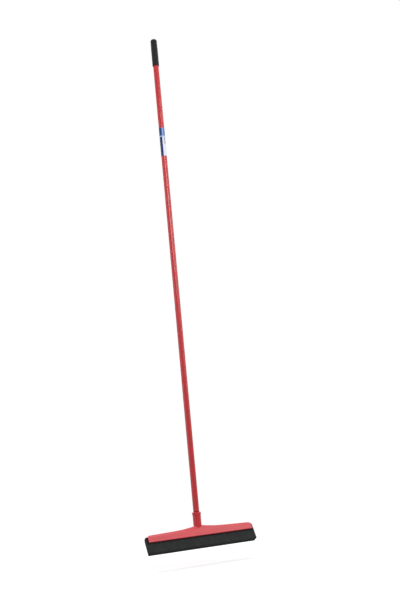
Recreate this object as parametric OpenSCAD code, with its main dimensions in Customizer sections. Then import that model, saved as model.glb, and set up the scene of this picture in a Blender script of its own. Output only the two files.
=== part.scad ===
// Long-handled foam squeegee: coated steel pole, grip and hanging cap,
// angled push head with a socket, and a slide-in twin foam refill.
// Millimetres, +Z up along the pole, front of the blade towards -Y.

/* [Handle] */
// outside diameter of the steel tube
tube_od = 19; // [16:0.5:26]
// wall thickness of the steel tube
tube_wall = 0.6; // [0.4:0.1:2]
// thickness of the plastic coating on the tube
coat_t = 0.35; // [0.2:0.05:1]
// distance from the socket mouth to the top of the cap
handle_reach = 1657; // [900:1:1900]

/* [Grip] */
// outside diameter of the grip sleeve
grip_od = 23.6; // [21:0.1:32]
// length of the grip sleeve
grip_len = 71; // [40:1:160]
// rounding of the grip sleeve ends
grip_round = 1.2; // [0.5:0.1:1.6]

/* [Hanging cap] */
// outside diameter of the cap
cap_od = 23; // [20:0.1:30]
// height of the cap above the tube
cap_h = 33; // [25:1:60]
// length of the plug inside the tube
cap_plug = 28; // [15:1:60]
// rounding of the cap's top edge
cap_round = 8; // [2:0.5:10]
// diameter of the hanging hole
hang_d = 8; // [5:0.5:10]
// depth of the hanging hole below the top of the cap
hang_drop = 13.5; // [10:0.5:25]
// turn of the cap about the pole
hang_turn = -28; // [-90:1:90]

/* [Label] */
// height of the label's lower edge above the socket mouth
label_at = 1212; // [200:1:1500]
// length of the label
label_len = 104; // [40:1:200]
// thickness of the label film
label_t = 0.15; // [0.1:0.05:0.4]

/* [Threaded tip] */
// diameter over the thread
thread_d = 18.8; // [15:0.1:25]
// length of the threaded end
thread_len = 35; // [20:1:50]
// height of the collar between tube and socket
collar_h = 3; // [2:0.5:8]
// length of the plug inside the tube
tip_plug = 36; // [20:1:60]
// diameter of the rivet that holds the tip
rivet_d = 4; // [3:0.5:5]
// length of the rivet below its head
rivet_len = 12; // [8:0.5:16]
// height of the rivet above the tube end
rivet_up = 16; // [10:1:30]

/* [Socket] */
// outside diameter of the socket
socket_od = 26.4; // [24:0.1:36]
// length of the socket above the head
socket_h = 45.7; // [30:0.1:80]
// outside diameter of the rim at the mouth
rim_od = 28.4; // [25:0.1:40]
// height of the rim
rim_h = 9; // [4:0.5:15]
// rounding of the rim's top edge
rim_round = 2.4; // [0.5:0.1:3]
// depth of the threaded bore
bore_h = 38; // [25:1:50]
// radius of the hollow curve beside the socket
web_r = 12; // [6:0.5:20]
// depth of the web under the socket
web_d = 10; // [6:0.5:16]
// depth of the web's lowest point below the head centre
web_sink = 4.5; // [1:0.5:8]
// shift of the web towards the front
web_fore = 1.5; // [0:0.5:4]

/* [Head frame] */
// angle between the blade and the pole
head_tilt = 30; // [0:1:45]
// length of the frame
frame_len = 364.5; // [200:0.5:600]
// depth over the frame walls
frame_d = 27.6; // [24:0.1:40]
// distance from the head centre down to the frame's lower lip
lip_drop = 36.8; // [30:0.1:60]
// distance from the head centre down to the roof at the ends
end_drop = 12.6; // [8:0.1:20]
// rise of the roof from the ends to the shoulder
shoulder_rise = 5; // [0:0.1:10]
// distance of the shoulder from the pole
shoulder_at = 58; // [35:1:120]
// depth of the roof at the ends
roof_d = 21.2; // [14:0.1:26]
// radius of the bead along the lower lips
bead_r = 1.7; // [0.8:0.1:3]
// rounding of the frame's upper end corners
corner_r = 8; // [1:0.5:12]
// thickness of the roof at the ends
roof_t = 2.8; // [2:0.1:5]
// height of the ribs inside the walls that hold the refill
rib_h = 2; // [1:0.1:4]
// depth of the ribs
rib_t = 1.2; // [0.6:0.1:2]

/* [Refill] */
// length of the refill
refill_len = 374.5; // [200:0.5:620]
// depth over both foam strips
foam_d = 22; // [16:0.5:30]
// distance from the head centre down to the wiping edge
foam_drop = 69.4; // [50:0.1:100]
// thickness of the carrier web between the strips
web_t = 2; // [1.5:0.1:4]
// height of the carrier web
web_h = 30; // [20:1:50]
// number of rivets through the strips
rivet_n = 5; // [3:1:9]
// shank diameter of the refill rivets
pin_d = 4; // [3:0.5:6]
// head diameter of the refill rivets
pin_head = 9; // [6:0.5:11]

/* [Hidden] */
$fn = 64;
soft_gap = 0.3;
slide_gap = 0.3;
run_gap = 0.08;
seat_gap = 0.05;
arc_n = 6;
tube_r = tube_od / 2;
tube_in = tube_r - tube_wall;
coat_r = tube_r + coat_t;
st = sin(head_tilt);
ct = cos(head_tilt);
pivot_z = foam_d / 2 * st + foam_drop * ct;
pole_y = (foam_d / 2 * ct + foam_drop * st - rim_od / 2) / 2;
mouth_z = pivot_z + socket_h;
tube_z0 = mouth_z + collar_h;
cap_top = mouth_z + handle_reach;
tube_z1 = cap_top - cap_h;
hang_z = cap_top - hang_drop;
wall_in = foam_d / 2 + 0.35;
roof_low = end_drop + roof_t;
roof_in = roof_d / 2 - 3;
slope_low = roof_low + 7.1;
rib_z = slope_low + 1.1 + rib_h / 2;
seat_low = roof_low - 2.2;
foam_top = roof_low + slide_gap;
rivet_z = rib_z + rib_h / 2 + 1.3 + pin_head / 2;
red = [0.80, 0.10, 0.13];
dark_red = [0.50, 0.08, 0.09];
black = [0.09, 0.09, 0.10];

// pole frame: on the pole's axis, upright
module on_pole(z) { translate([0, pole_y, z]) children(); }

// head frame: turned with the blade, origin on the pole's axis
module on_head() { translate([0, pole_y, pivot_z]) rotate([-head_tilt, 0, 0]) children(); }

// a Y-Z section drawn as [depth, height], run along the head
module along_head(len) {
  rotate([90, 0, 90]) linear_extrude(height = len, center = true) children();
}

// a plain ring
module ring(r_out, r_in, h) {
  rotate_extrude() translate([r_in, 0]) square([r_out - r_in, h]);
}

// seat of the rivet's head, on the film at the back of the pole
module at_rivet_head() {
  on_pole(tube_z0 + rivet_up) rotate([-90, 0, 0])
    translate([0, 0, coat_r - 0.15]) children();
}

// blind hole for the rivet, open towards the back
module rivet_hole() {
  at_rivet_head() translate([0, 0, -rivet_len - 0.5])
    cylinder(d = rivet_d + 0.02, h = rivet_len + 10);
}

// steel tube
module handle_tube() {
  color([0.62, 0.63, 0.65]) difference() {
    on_pole(tube_z0) ring(tube_r, tube_in, tube_z1 - tube_z0);
    rivet_hole();
  }
}

// plastic film on the tube
module tube_coating() {
  color(red) difference() {
    on_pole(tube_z0) ring(coat_r, tube_r, tube_z1 - tube_z0);
    rivet_hole();
    at_rivet_head() cylinder(r = rivet_d * 0.85 + 0.02, h = 5);
  }
}

// film wrap around the pole
module label() {
  color([0.90, 0.92, 0.95])
    on_pole(mouth_z + label_at) ring(coat_r + label_t, coat_r, label_len);
}

// soft sleeve over the top of the tube
module grip_sleeve() {
  r = grip_od / 2;
  color(black) on_pole(tube_z1 - grip_len) rotate_extrude() difference() {
    translate([coat_r, 0]) square([r - coat_r, grip_len]);
    translate([r - grip_round, 0]) difference() {
      translate([0, -1]) square([grip_round + 1, grip_round + 1]);
      translate([0, grip_round]) circle(r = grip_round);
    }
    translate([r - grip_round, grip_len - grip_round]) difference() {
      square([grip_round + 1, grip_round + 1]);
      circle(r = grip_round);
    }
  }
}

// round-topped cap with a plug and a cross hole
module hang_cap() {
  r = cap_od / 2;
  c = cap_round;
  color(black) difference() {
    on_pole(tube_z1) {
      translate([0, 0, -cap_plug]) cylinder(r = tube_in, h = cap_plug + 1);
      rotate_extrude() {
        square([r, cap_h - c]);
        square([r - c, cap_h]);
        translate([r - c, cap_h - c]) intersection() {
          circle(r = c);
          square([c + 1, c + 1]);
        }
      }
    }
    on_pole(hang_z) rotate([0, 90, hang_turn]) cylinder(d = hang_d, h = 60, center = true);
    // hollow plug
    on_pole(tube_z1 - cap_plug - 1) cylinder(r = tube_in - 2, h = cap_plug + 3);
  }
}

// threaded end: plug in the tube, collar, and the thread's outside size
module thread_tip() {
  color(dark_red) difference() {
    on_pole(mouth_z) {
      translate([0, 0, collar_h - 1]) cylinder(r = tube_in, h = tip_plug + 1);
      translate([0, 0, seat_gap]) cylinder(r = coat_r, h = collar_h - seat_gap);
      translate([0, 0, -thread_len]) rotate_extrude() polygon([
        [0, 0], [thread_d / 2 - 2, 0], [thread_d / 2, 2],
        [thread_d / 2, thread_len + 1], [0, thread_len + 1]]);
    }
    rivet_hole();
  }
}

// blind rivet with a low round head
module tip_rivet() {
  color([0.70, 0.71, 0.73]) at_rivet_head() rotate_extrude() polygon([
    [0, -rivet_len], [rivet_d / 2, -rivet_len], [rivet_d / 2, 0], [rivet_d * 0.85, 0],
    [rivet_d * 0.85, 0.5], [rivet_d * 0.55, 1.1], [0, 1.1]]);
}

// unit vector
function unit(v) = v / norm(v);

// a closed outline of [x, y, r] corners with each corner rounded by its r
function rounded(c) = [
  for (i = [0 : len(c) - 1])
    let (p = [c[i][0], c[i][1]], r = c[i][2],
         a = c[(i + len(c) - 1) % len(c)], b = c[(i + 1) % len(c)],
         u = unit([a[0], a[1]] - p), v = unit([b[0], b[1]] - p),
         half = acos(u * v) / 2,
         m = p + unit(u + v) * (r / max(sin(half), 0.01)),
         f = p + u * (r / max(tan(half), 0.01)) - m,
         g = p + v * (r / max(tan(half), 0.01)) - m)
      for (k = r > 0 ? [0 : arc_n] : [0])
        r > 0 ? m + r * unit(f * (1 - k / arc_n) + g * (k / arc_n)) : p];

// outside of the head in side view: upright walls, sloped shoulders, narrow middle
module frame_section() {
  h = frame_d / 2;
  polygon(rounded([
    [-h, -lip_drop, 0], [-h, -19.5, 5], [-roof_d / 2, -end_drop, 6], [-8, 0, 0], [-7, 14, 0],
    [7, 14, 0], [8, 0, 0], [roof_d / 2, -end_drop, 6], [h, -19.5, 5], [h, -lip_drop, 0]]));
}

// outside of the head in front view: low ends, shoulders and a raised middle
module frame_front() {
  e = frame_len / 2;
  polygon(rounded([
    [e, -lip_drop, 0], [e, -end_drop, corner_r],
    [shoulder_at, -end_drop + shoulder_rise, 110], [socket_od / 2, 0, 0],
    [-socket_od / 2, 0, 0], [-shoulder_at, -end_drop + shoulder_rise, 110],
    [-e, -end_drop, corner_r], [-e, -lip_drop, 0]]));
}

// web under the socket with a hollow curve on each side
module socket_web() {
  reach = socket_od / 2 - 1 + web_r;
  rotate([90, 0, 0]) linear_extrude(height = web_d, center = true) difference() {
    translate([-reach, -10]) square([2 * reach, web_r + 10 - web_sink]);
    for (s = [-1, 1]) translate([s * reach, web_r - web_sink]) circle(r = web_r);
  }
}

// inside of the head: channel with sloped shoulders and a rib on each wall
module frame_channel() {
  w = wall_in;
  t = wall_in - rib_t;
  lo = rib_z + rib_h / 2;
  hi = rib_z - rib_h / 2;
  polygon([
    [-w, -lip_drop - 1], [-w, -lo], [-t, -lo], [-t, -hi], [-w, -hi], [-w, -slope_low],
    [-roof_in, -roof_low], [roof_in, -roof_low], [w, -slope_low], [w, -hi], [t, -hi],
    [t, -lo], [w, -lo], [w, -lip_drop - 1]]);
}

// outside of the socket: barrel, rim and web, slanted behind the roof's edge
module socket_outside() {
  on_pole(pivot_z) translate([0, -web_fore, 0]) socket_web();
  difference() {
    on_pole(pivot_z - 30) cylinder(d = socket_od, h = socket_h + 30 - rim_h / 2);
    on_head() {
      translate([0, 0, -50 - seat_low]) cube([80, 120, 100], center = true);
      translate([0, roof_d / 2, -seat_low]) rotate([45, 0, 0])
        translate([-40, 0, -60]) cube([80, 60, 60]);
    }
  }
  on_pole(mouth_z - rim_h) rotate_extrude() {
    r = rim_od / 2;
    polygon([[0, 0], [socket_od / 2, 0], [r, 1.2], [r, rim_h - rim_round],
      [0, rim_h - rim_round]]);
    square([r - rim_round, rim_h]);
    translate([r - rim_round, rim_h - rim_round]) intersection() {
      circle(r = rim_round);
      square([rim_round + 1, rim_round + 1]);
    }
  }
}

// channel of the head: walls, lip beads, inner ribs and the seat of the socket
module head_frame() {
  color(red) difference() {
    on_head() {
      intersection() {
        along_head(frame_len) frame_section();
        rotate([90, 0, 0]) linear_extrude(height = 80, center = true) frame_front();
      }
      for (s = [-1, 1])
        translate([0, s * (frame_d / 2 - 0.4), -lip_drop + bead_r]) rotate([0, 90, 0])
          cylinder(r = bead_r, h = frame_len, center = true);
    }
    on_head() along_head(frame_len + 20) frame_channel();
    socket_outside();
  }
}

// angled socket that takes the pole's threaded tip
module head_socket() {
  color(red) difference() {
    socket_outside();
    on_pole(mouth_z - bore_h) cylinder(d = thread_d + 2 * run_gap, h = bore_h + 1);
  }
}

// hole pattern of the refill rivets
module at_rivets() {
  pitch = (refill_len - 50) / (rivet_n - 1);
  for (i = [0 : rivet_n - 1])
    translate([-(refill_len - 50) / 2 + i * pitch, 0, -rivet_z]) children();
}

// stiff web between both strips
module refill_carrier() {
  color([0.12, 0.12, 0.13]) on_head() difference() {
    translate([0, 0, -foam_top - web_h / 2]) cube([refill_len, web_t, web_h], center = true);
    at_rivets() rotate([90, 0, 0]) cylinder(d = pin_d + 0.02, h = 20, center = true);
  }
}

// one foam strip with a groove for the rib, drawn on the front side
module foam_strip() {
  o = foam_d / 2;
  i = web_t / 2 + soft_gap;
  g = wall_in - rib_t - soft_gap;
  lo = rib_z + rib_h / 2 + soft_gap;
  hi = rib_z - rib_h / 2 - soft_gap;
  difference() {
    along_head(refill_len) polygon([
      [-i, -foam_top], [-i, -foam_drop], [-o, -foam_drop], [-o, -lo], [-g, -lo], [-g, -hi],
      [-o, -hi], [-o, -slope_low - 0.4], [-roof_in + 0.4, -foam_top]]);
    at_rivets() rotate([90, 0, 0]) {
      cylinder(d = pin_d + 2 * soft_gap, h = 60);
      translate([0, 0, o - 2.4]) cylinder(d = pin_head + 2 * soft_gap, h = 20);
    }
  }
}

// foam strip on the side that faces forward
module front_strip() { color(black) on_head() foam_strip(); }

// foam strip behind the web
module rear_strip() { color(black) on_head() rotate([0, 0, 180]) foam_strip(); }

// rivets that hold the strips on the web
module refill_rivets() {
  o = foam_d / 2;
  color([0.70, 0.71, 0.73]) on_head() at_rivets() rotate([90, 0, 0]) {
    cylinder(d = pin_d, h = 2 * o - 2, center = true);
    for (s = [0, 180]) rotate([s, 0, 0])
      translate([0, 0, o - 2]) cylinder(d = pin_head, h = 1.6);
  }
}

handle_tube();
tube_coating();
label();
grip_sleeve();
hang_cap();
thread_tip();
tip_rivet();
head_frame();
head_socket();
refill_carrier();
front_strip();
rear_strip();
refill_rivets();
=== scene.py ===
"""Looks of a long-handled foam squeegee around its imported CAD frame.

The pole, the label, the threaded tip, the moulded head and the foam strips are
drawn here as surfaces from formulas; the other pieces keep their CAD shape and
get their finish here. Everything is in metres, +Z up along the pole, with the
front of the blade towards -Y.
"""

import logging
import math
from abc import ABC, abstractmethod
from dataclasses import dataclass, replace
from enum import Enum
from typing import Sequence

import bmesh
import bpy
import numpy as np
from bpy.types import Material, Node, NodeSocket, NodeTree, Object
from mathutils import Matrix, Vector

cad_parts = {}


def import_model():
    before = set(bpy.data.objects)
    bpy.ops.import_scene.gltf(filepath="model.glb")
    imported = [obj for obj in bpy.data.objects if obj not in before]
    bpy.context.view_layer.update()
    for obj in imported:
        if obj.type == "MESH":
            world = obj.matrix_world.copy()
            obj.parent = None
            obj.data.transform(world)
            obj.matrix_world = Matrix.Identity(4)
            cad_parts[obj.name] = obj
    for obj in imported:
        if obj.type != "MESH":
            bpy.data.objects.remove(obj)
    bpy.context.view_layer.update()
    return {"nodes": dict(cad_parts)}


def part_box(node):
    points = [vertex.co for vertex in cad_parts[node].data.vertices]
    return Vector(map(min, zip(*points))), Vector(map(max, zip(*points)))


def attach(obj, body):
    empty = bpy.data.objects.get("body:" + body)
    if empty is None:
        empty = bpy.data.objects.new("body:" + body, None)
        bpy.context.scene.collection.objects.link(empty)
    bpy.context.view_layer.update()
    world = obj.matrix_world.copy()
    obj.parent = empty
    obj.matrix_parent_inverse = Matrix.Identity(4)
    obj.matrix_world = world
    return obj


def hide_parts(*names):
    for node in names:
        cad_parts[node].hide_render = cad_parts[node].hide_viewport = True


LOG = logging.getLogger("squeegee")
MM = 0.001
JOIN_WITHIN = 1e-4 * MM

Colour = tuple[float, float, float]
Stop = tuple[float, Colour]
BLACK: Colour = (0.0, 0.0, 0.0)
FULL: Colour = (1.0, 1.0, 1.0)


class Body(Enum):
    """The rigid bodies of the frame that a piece can ride on."""

    HANDLE = "handle"
    HEAD = "head"
    REFILL = "refill"


class Side(Enum):
    """The side of the carrier's web that a foam strip lies on."""

    FRONT = -1
    REAR = 1


# Mesh tools


def grid_mesh(
    name: str,
    points: np.ndarray,
    close_u: bool = False,
    close_v: bool = True,
    cap_start: bool = False,
    cap_end: bool = False,
    uv: np.ndarray | None = None,
    sharp_deg: float = 35.0,
    skip: np.ndarray | None = None,
    extra: Sequence[Sequence[int]] = (),
) -> Object:
    """Turns a grid of points into a smooth-shaded mesh object.

    Row i, column j of the grid is a vertex; each cell is a quad, rows and
    columns can join back to the start, and the first and last rows can be
    closed with one flat face each.

    Args:
        name: Name of the object.
        points: Array of shape (rows, columns, 3), in metres.
        close_u: Whether the last row joins the first.
        close_v: Whether the last column joins the first.
        cap_start: Whether row 0 is closed with a face.
        cap_end: Whether the last row is closed with a face.
        uv: Optional array of shape (rows, columns, 2), stored on the corners.
        sharp_deg: Edges that turn more than this stay sharp.
        skip: Optional mask of the cells that stay open.
        extra: More faces, as vertex numbers; points that coincide are then joined.

    Returns:
        The new object, linked to the scene.
    """
    rows, cols = points.shape[:2]
    i = np.arange(rows if close_u else rows - 1)
    j = np.arange(cols if close_v else cols - 1)
    ii, jj = np.meshgrid(i, j, indexing="ij")
    i2, j2 = (ii + 1) % rows, (jj + 1) % cols
    quads = np.stack([ii * cols + jj, ii * cols + j2, i2 * cols + j2, i2 * cols + jj], axis=-1)
    faces: list[Sequence[int]] = (quads.reshape(-1, 4) if skip is None else quads[~skip]).tolist()
    faces.extend(extra)
    if cap_start:
        faces.append(list(range(cols - 1, -1, -1)))
    if cap_end:
        faces.append(list(range((rows - 1) * cols, rows * cols)))
    mesh = bpy.data.meshes.new(name)
    mesh.from_pydata(points.reshape(-1, 3).tolist(), [], faces)
    mesh.update()
    if extra:
        joined = bmesh.new()
        joined.from_mesh(mesh)
        bmesh.ops.remove_doubles(joined, verts=joined.verts, dist=JOIN_WITHIN)
        joined.to_mesh(mesh)
        joined.free()
    mesh.shade_smooth()
    mesh.set_sharp_from_angle(angle=math.radians(sharp_deg))
    if uv is not None:
        layer = mesh.uv_layers.new(name="wrap")
        u_next = np.where(jj == cols - 1, 1.0, uv[ii, j2, 0]) if close_v else uv[ii, j2, 0]
        corner = np.stack(
            [
                np.stack([uv[ii, jj, 0], uv[ii, jj, 1]], -1),
                np.stack([u_next, uv[ii, j2, 1]], -1),
                np.stack([u_next, uv[i2, j2, 1]], -1),
                np.stack([uv[i2, jj, 0], uv[i2, jj, 1]], -1),
            ],
            axis=2,
        ).reshape(-1, 2)
        flat = np.zeros(len(mesh.loops) * 2, np.float32)
        flat[: corner.size] = corner.ravel()
        layer.data.foreach_set("uv", flat)
    obj = bpy.data.objects.new(name, mesh)
    bpy.context.scene.collection.objects.link(obj)
    return obj


def turned(profile: np.ndarray, centre: tuple[float, float], sides: int) -> np.ndarray:
    """Points of a profile turned about a vertical axis.

    Each profile point (r, z) goes to centre + r (cos t, sin t) at height z, with
    t running once round in equal steps. The profile can differ from step to step.

    Args:
        profile: Array of shape (n, 2) or (n, sides, 2) of radius and height, in metres.
        centre: The axis in plan.
        sides: Number of steps round the axis.

    Returns:
        Array of shape (n, sides, 3).
    """
    t = turn(sides)
    grid = profile[:, None] if profile.ndim == 2 else profile
    r, z = grid[..., 0], grid[..., 1]
    x, y = centre[0] + r * np.cos(t), centre[1] + r * np.sin(t)
    return np.stack([x, y, np.broadcast_to(z, x.shape)], axis=-1)


def turn(sides: int) -> np.ndarray:
    """Angles of equal steps once round, in radians."""
    return np.arange(sides) * (2 * np.pi / sides)


def rings(r: np.ndarray, z: np.ndarray) -> np.ndarray:
    """Pairs radii and heights, one row per ring, as a profile that can differ from step to step."""
    return np.stack(np.broadcast_arrays(r, z), axis=-1)


def thread_crest(
    z: np.ndarray, t: np.ndarray, pitch: float, flat: float = 0.12, slope: float = 0.18
) -> np.ndarray:
    """Form of a right-hand thread with one start: 1 on the crest, 0 in the root.

    A trapezoid wave of height over pitch minus angle over a turn, with its
    corners eased by a smooth step.

    Args:
        z: Heights, of shape (n, 1).
        t: Angles, of shape (sides,).
        pitch: Rise of one turn.
        flat: Half width of the crest, as a share of the pitch.
        slope: Width of one flank, as a share of the pitch.

    Returns:
        Array of shape (n, sides).
    """
    phase = (z / pitch - t / (2 * np.pi)) % 1.0
    flank = np.clip((np.abs(phase - 0.5) - flat) / slope, 0, 1)
    return 1 - flank * flank * (3 - 2 * flank)


def arc(cx: float, cy: float, r: float, a0: float, a1: float, n: int) -> np.ndarray:
    """Points of an arc about (cx, cy) from one angle to another in degrees, of shape (n, 2)."""
    a = np.radians(np.linspace(a0, a1, n))
    return np.stack([cx + r * np.cos(a), cy + r * np.sin(a)], axis=-1)


def stations(half: float, corner: float, body_rows: int, corner_rows: int) -> np.ndarray:
    """Places along a blade with rounded ends.

    They lie evenly in the middle and follow the sine of even steps through a
    quarter turn at the ends.

    Args:
        half: Half length of the blade.
        corner: Radius of the rounded ends.
        body_rows: Number of places on each half of the middle.
        corner_rows: Number of places on each rounded end.

    Returns:
        Array of shape (n,), from -half to half.
    """
    ends = half - corner * (1 - np.sin(np.linspace(0, np.pi / 2, corner_rows)))
    right = np.concatenate([np.linspace(0, half - corner, body_rows)[:-1], ends])
    return np.concatenate([-right[:0:-1], right])


def soften(obj: Object, width: float, segments: int = 2, angle_deg: float = 38.0) -> None:
    """Adds a small rounding to an object's hard edges.

    Args:
        obj: The object.
        width: Width of the rounding in metres.
        segments: Number of steps across it.
        angle_deg: Edges that turn more than this are rounded.
    """
    mod = obj.modifiers.new("edge_round", "BEVEL")
    mod.width = width
    mod.segments = segments
    mod.limit_method = "ANGLE"
    mod.angle_limit = math.radians(angle_deg)
    mod.harden_normals = True


# Finishes


class Nodes:
    """A thin builder for one material's node tree.

    The mix node keeps its colour sockets at fixed places, which are named here.
    """

    MIX_FACTOR = 0
    MIX_FIRST = 6
    MIX_SECOND = 7
    MIX_RESULT = 2

    def __init__(self, name: str) -> None:
        """Makes an empty material with a shader.

        Args:
            name: Name of the material.
        """
        self.material = bpy.data.materials.new(name)
        self.material.use_nodes = True
        self.tree = self.material.node_tree
        self.shader = self.tree.nodes["Principled BSDF"]

    def node(self, kind: str, **inputs: object) -> Node:
        """Adds a node and sets or links its inputs.

        Args:
            kind: Blender's type name of the node.
            inputs: Socket names, with _ for a space, and values or sockets.

        Returns:
            The node.
        """
        made = self.tree.nodes.new(kind)
        for key, value in inputs.items():
            self.put(made.inputs[key.replace("_", " ")], value)
        return made

    def put(self, socket: NodeSocket, value: object) -> None:
        """Links a socket to another or sets its value.

        Args:
            socket: The input.
            value: An output socket, a number or a colour.
        """
        if isinstance(value, NodeSocket):
            self.tree.links.new(value, socket)
        elif isinstance(value, tuple) and len(value) == 3 and socket.type == "RGBA":
            socket.default_value = (*value, 1.0)
        else:
            socket.default_value = value

    def place(self) -> NodeSocket:
        """The object-space position."""
        return self.node("ShaderNodeTexCoord").outputs["Object"]

    def noise(self, at: NodeSocket, scale: float, detail: float = 3.0) -> NodeSocket:
        """Fractal noise at a position, with its scale in cells per metre and its detail in octaves."""
        return self.node("ShaderNodeTexNoise", Vector=at, Scale=scale, Detail=detail).outputs["Fac"]

    def ramp(self, factor: NodeSocket, stops: Sequence[Stop], hard: bool = False) -> NodeSocket:
        """A colour ramp.

        Args:
            factor: Position along the ramp.
            stops: Positions and colours.
            hard: Whether colours change in steps.

        Returns:
            The colour.
        """
        made = self.node("ShaderNodeValToRGB", Fac=factor)
        ramp = made.color_ramp
        ramp.interpolation = "CONSTANT" if hard else "LINEAR"
        while len(ramp.elements) < len(stops):
            ramp.elements.new(0.5)
        for element, (at, colour) in zip(ramp.elements, stops):
            element.position = at
            element.color = (*colour, 1.0)
        return made.outputs["Color"]

    def mix(self, factor: object, a: object, b: object) -> NodeSocket:
        """Mixes two colours.

        Args:
            factor: 0 for the first, 1 for the second.
            a: First colour.
            b: Second colour.

        Returns:
            The mixed colour.
        """
        made = self.tree.nodes.new("ShaderNodeMix")
        made.data_type = "RGBA"
        self.put(made.inputs[self.MIX_FACTOR], factor)
        self.put(made.inputs[self.MIX_FIRST], a)
        self.put(made.inputs[self.MIX_SECOND], b)
        return made.outputs[self.MIX_RESULT]

    def surface(self, name: str, value: object) -> None:
        """Sets or links the shader's socket of that name."""
        self.put(self.shader.inputs[name], value)

    def bump(self, height: NodeSocket, distance: float, strength: float = 1.0) -> None:
        """Bumps the shader's normal by a height field, to a depth in metres."""
        made = self.node("ShaderNodeBump", Height=height, Distance=distance, Strength=strength)
        self.surface("Normal", made.outputs["Normal"])


def shade(colour: Colour, by: float) -> Colour:
    """A darker or lighter shade of a colour, each part times a factor and at most full."""
    return tuple(min(1.0, part * by) for part in colour)


@dataclass(frozen=True)
class Finish(ABC):
    """A finish that builds its own material."""

    name: str

    def material(self) -> Material:
        """Builds the material.

        Returns:
            The material.
        """
        n = Nodes(self.name)
        self.paint(n)
        return n.material

    @abstractmethod
    def paint(self, n: Nodes) -> None:
        """Fills in the material's nodes."""


@dataclass(frozen=True)
class Plastic(Finish):
    """Moulded or extruded plastic with a faint flow pattern and fine grain."""

    colour: Colour
    rough: float = 0.4
    gloss: float = 0.3
    grain: float = 0.6 * MM
    grain_depth: float = 0.02 * MM
    vary: float = 0.06
    vary_between: tuple[float, float] = (0.3, 0.7)
    cloud_scale: float = 28.0
    smear: float = 0.12
    smear_scale: float = 140.0

    def paint(self, n: Nodes) -> None:
        """Clouds the colour, smears the roughness and adds the grain.

        Args:
            n: The material's nodes.
        """
        at = n.place()
        cloud = n.noise(at, self.cloud_scale)
        shades = (shade(self.colour, 1 - self.vary), shade(self.colour, 1 + self.vary))
        n.surface("Base Color", n.ramp(cloud, list(zip(self.vary_between, shades))))
        smear = n.noise(at, self.smear_scale, detail=2.0)
        low, high = self.rough * (1 - self.smear), self.rough * (1 + self.smear)
        rough = n.node("ShaderNodeMapRange", Value=smear, To_Min=low, To_Max=high)
        n.surface("Roughness", rough.outputs["Result"])
        n.surface("Specular IOR Level", self.gloss)
        n.bump(n.noise(at, 1 / self.grain, detail=2.0), self.grain_depth)


@dataclass(frozen=True)
class Metal(Finish):
    """Bare metal with fine scratches."""

    colour: Colour
    rough: float = 0.32
    rough_span: tuple[float, float] = (0.8, 1.3)
    dull: float = 0.85
    dull_between: tuple[float, float] = (0.35, 0.65)
    cloud_scale: float = 400.0
    scratch_scale: float = 2500.0
    scratch_depth: float = 0.01 * MM

    def paint(self, n: Nodes) -> None:
        """Dulls the metal in patches and adds the scratches.

        Args:
            n: The material's nodes.
        """
        at = n.place()
        n.surface("Metallic", 1.0)
        cloud = n.noise(at, self.cloud_scale)
        shades = (shade(self.colour, self.dull), self.colour)
        n.surface("Base Color", n.ramp(cloud, list(zip(self.dull_between, shades))))
        low, high = (self.rough * part for part in self.rough_span)
        rough = n.node("ShaderNodeMapRange", Value=cloud, To_Min=low, To_Max=high)
        n.surface("Roughness", rough.outputs["Result"])
        n.bump(n.noise(at, self.scratch_scale), self.scratch_depth)


@dataclass(frozen=True)
class Foam(Finish):
    """Open-cell rubber foam: dark, matt, full of small pores."""

    colour: Colour
    up: tuple[float, float, float] = (0.0, 0.0, 1.0)
    lip: float = 28.0 * MM
    # Painted shadow under the lip: where it starts and ends below the lip, and how dark it gets
    shadow_from: float = 6.0 * MM
    shadow_to: float = 1.8 * MM
    lip_shadow: float = 0.3
    pore: float = 1.1 * MM
    pore_depth: float = 0.35 * MM
    pore_bump: float = 0.8
    # Pores are painted darker, as shade in their hollows
    pore_shade: float = 0.45
    pore_between: tuple[float, float] = (0.08, 0.45)
    worn: float = 1.35
    worn_between: tuple[float, float] = (0.4, 0.75)
    cloud_scale: float = 60.0
    rough: float = 0.85
    gloss: float = 0.15

    def paint(self, n: Nodes) -> None:
        """Adds pores with painted shade in them, worn patches, and a painted shadow in a band below the
        lip.

        Args:
            n: The material's nodes.
        """
        at = n.place()
        pores = n.node("ShaderNodeTexVoronoi", Vector=at, Scale=1 / self.pore).outputs["Distance"]
        # Painted shade in the pores' hollows
        shades = (shade(self.colour, self.pore_shade), self.colour)
        skin = n.ramp(pores, list(zip(self.pore_between, shades)))
        wear = n.ramp(n.noise(at, self.cloud_scale), list(zip(self.worn_between, (BLACK, FULL))))
        face = n.mix(wear, skin, shade(self.colour, self.worn))
        height = n.node("ShaderNodeVectorMath", Vector=at)
        height.operation = "DOT_PRODUCT"
        n.put(height.inputs[1], self.up)
        # Painted shadow: the colour darkens in a band just below the lip, where the lip shades the foam
        low, high = self.lip - self.shadow_from, self.lip - self.shadow_to
        near = n.node("ShaderNodeMapRange", Value=height.outputs["Value"], From_Min=low, From_Max=high)
        n.surface("Base Color", n.mix(near.outputs["Result"], face, shade(self.colour, self.lip_shadow)))
        n.surface("Roughness", self.rough)
        n.surface("Specular IOR Level", self.gloss)
        n.bump(pores, self.pore_depth, self.pore_bump)


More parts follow.
